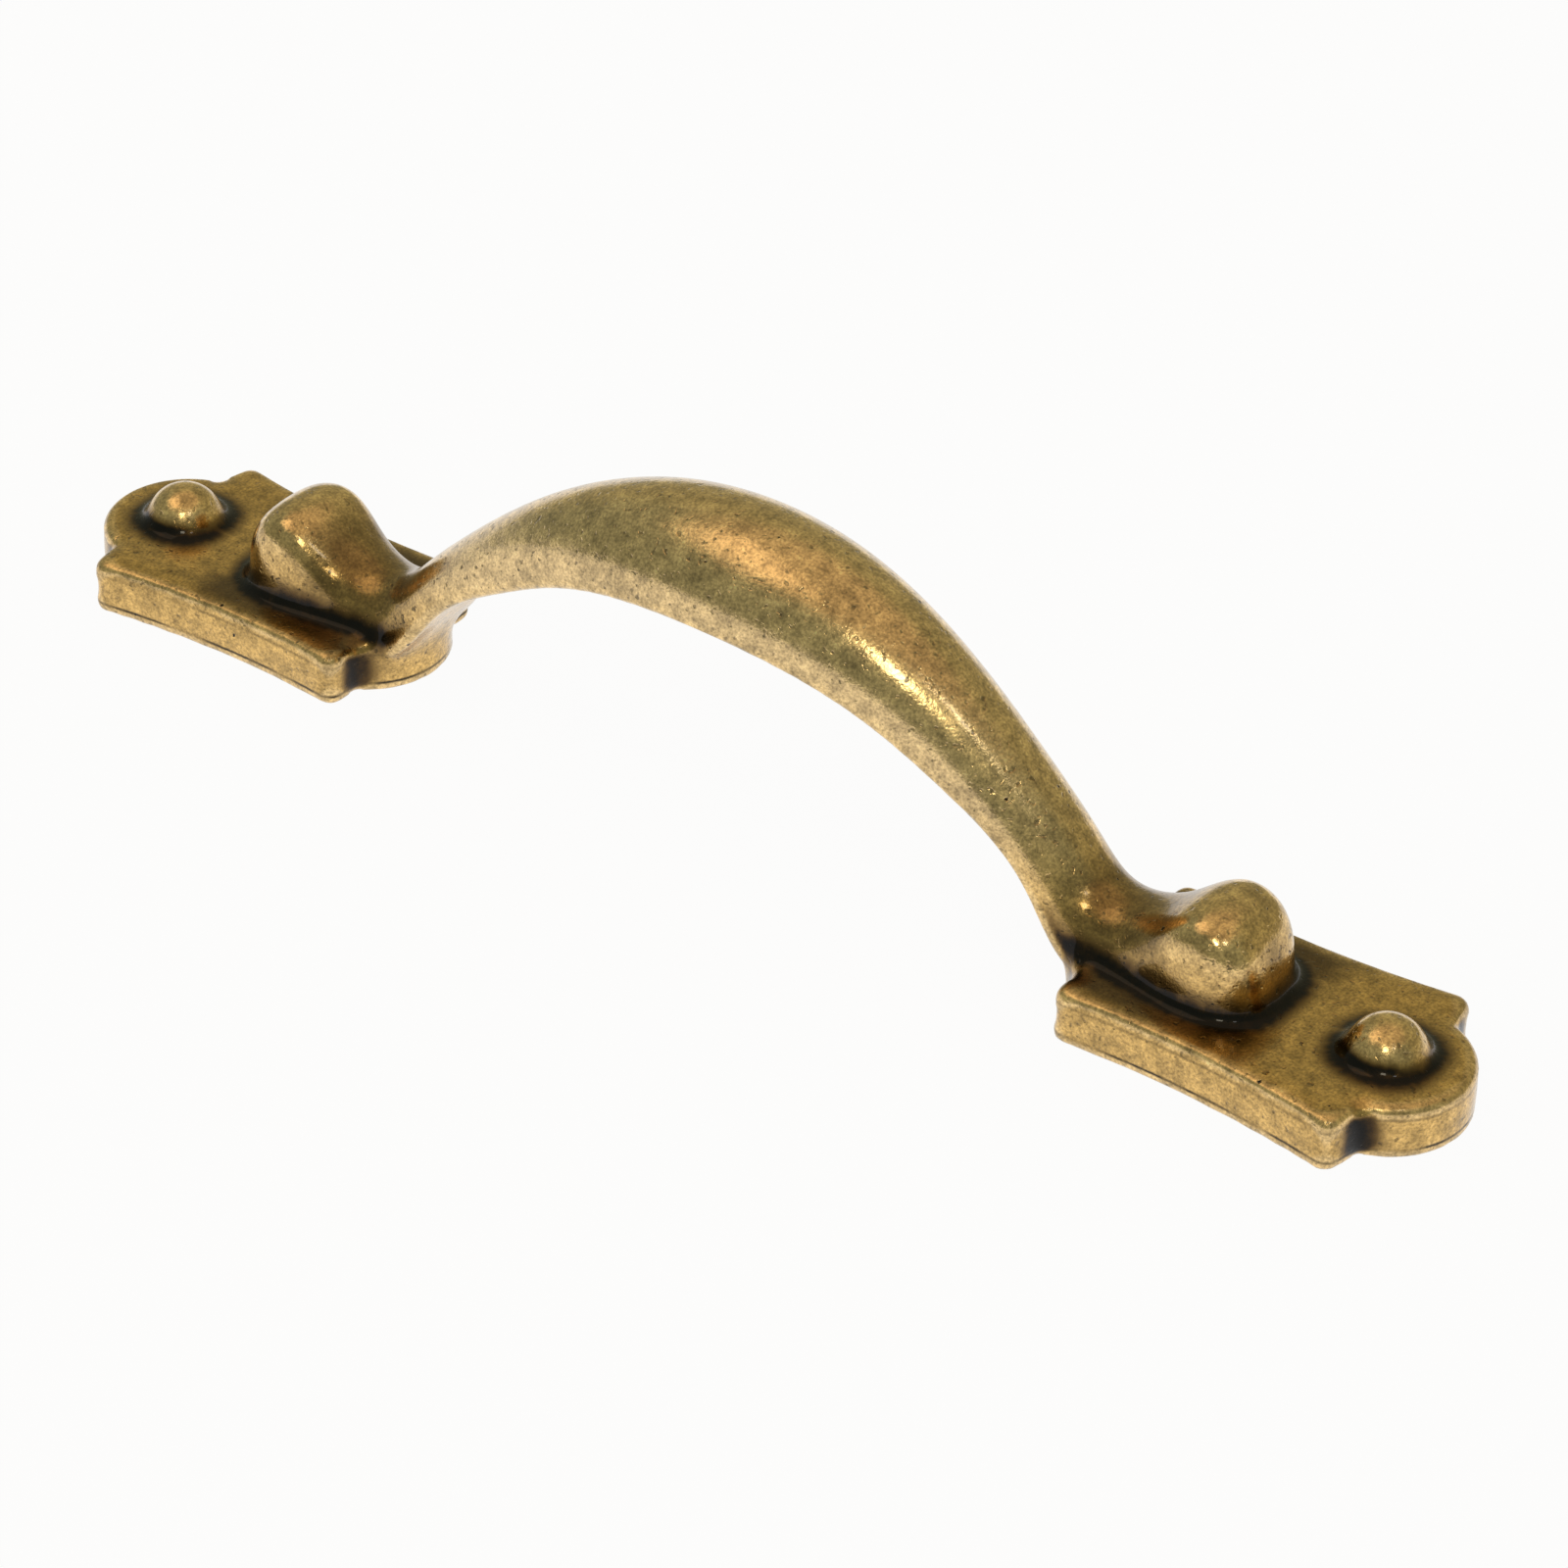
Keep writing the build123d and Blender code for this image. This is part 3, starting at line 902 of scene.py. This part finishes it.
class PULL_OT_stage(bpy.types.Operator):
    """Makes the white table, the lamps, the room's light and the camera"""

    bl_idname = "pull.stage"
    bl_label = "Stage"

    def execute(self, context):
        scene = context.scene
        settings = scene.pull_stage
        half = settings.floor_size / 2
        corners = [(-half, -half, 0), (half, -half, 0), (half, half, 0), (-half, half, 0)]
        mesh = bpy.data.meshes.new("table")
        mesh.from_pydata(corners, [], [(0, 1, 2, 3)])
        table = bpy.data.objects.new("table", mesh)
        scene.collection.objects.link(table)
        mesh.materials.append(white_laminate(settings.floor))

        for name, turn, height, distance, wide, high, brightness, tint in LAMPS:
            lamp = bpy.data.lights.new(name, "AREA")
            lamp.shape = "RECTANGLE"
            lamp.size = wide
            lamp.size_y = high
            lamp.energy = brightness * math.pi * wide * high
            lamp.color = colour(tint)
            turn, height = math.radians(turn), math.radians(height)
            away = Vector(
                (math.sin(turn) * math.cos(height), -math.cos(turn) * math.cos(height), math.sin(height))
            )
            facing = away.to_track_quat("Z", "Y").to_matrix().to_4x4()
            holder = bpy.data.objects.new(name, lamp)
            holder.matrix_world = Matrix.Translation(away * distance) @ facing
            scene.collection.objects.link(holder)

        scene.world = studio_room(settings)

        camera = bpy.data.cameras.new("camera")
        camera.sensor_width = SENSOR
        camera.lens = LENS
        camera.clip_start = NEAREST
        holder = bpy.data.objects.new("camera", camera)
        eye = Vector(EYE)
        facing = (eye - Vector(AIM)).to_track_quat("Z", "Y").to_matrix().to_4x4()
        roll = Matrix.Rotation(math.radians(ROLL), 4, "Z")
        holder.matrix_world = Matrix.Translation(eye) @ facing @ roll
        scene.collection.objects.link(holder)
        scene.camera = holder
        scene.view_settings.view_transform = "Standard"
        return {"FINISHED"}


class PULL_PT_panel(bpy.types.Panel):
    """Lists the pull's settings and makers"""

    bl_idname = "PULL_PT_panel"
    bl_label = "Drawer Pull"
    bl_space_type = "VIEW_3D"
    bl_region_type = "UI"
    bl_category = "Drawer Pull"

    def draw(self, context):
        for group, operator in (
            ("pull_casting", "pull.casting"),
            ("pull_finish", None),
            ("pull_stage", "pull.stage"),
        ):
            box = self.layout.box()
            settings = getattr(context.scene, group)
            for name in settings.bl_rna.properties.keys():
                if name not in ("rna_type", "name"):
                    box.prop(settings, name)
            if operator:
                box.operator(operator)


CLASSES = (CastingSettings, FinishSettings, StageSettings, PULL_OT_casting, PULL_OT_stage, PULL_PT_panel)


def register():
    for kind in CLASSES:
        bpy.utils.register_class(kind)
    bpy.types.Scene.pull_casting = bpy.props.PointerProperty(type=CastingSettings)
    bpy.types.Scene.pull_finish = bpy.props.PointerProperty(type=FinishSettings)
    bpy.types.Scene.pull_stage = bpy.props.PointerProperty(type=StageSettings)


def unregister():
    del bpy.types.Scene.pull_stage
    del bpy.types.Scene.pull_finish
    del bpy.types.Scene.pull_casting
    for kind in reversed(CLASSES):
        bpy.utils.unregister_class(kind)


def main():
    register()
    bpy.ops.pull.casting()
    bpy.ops.pull.stage()


if __name__ == "__main__":
    main()
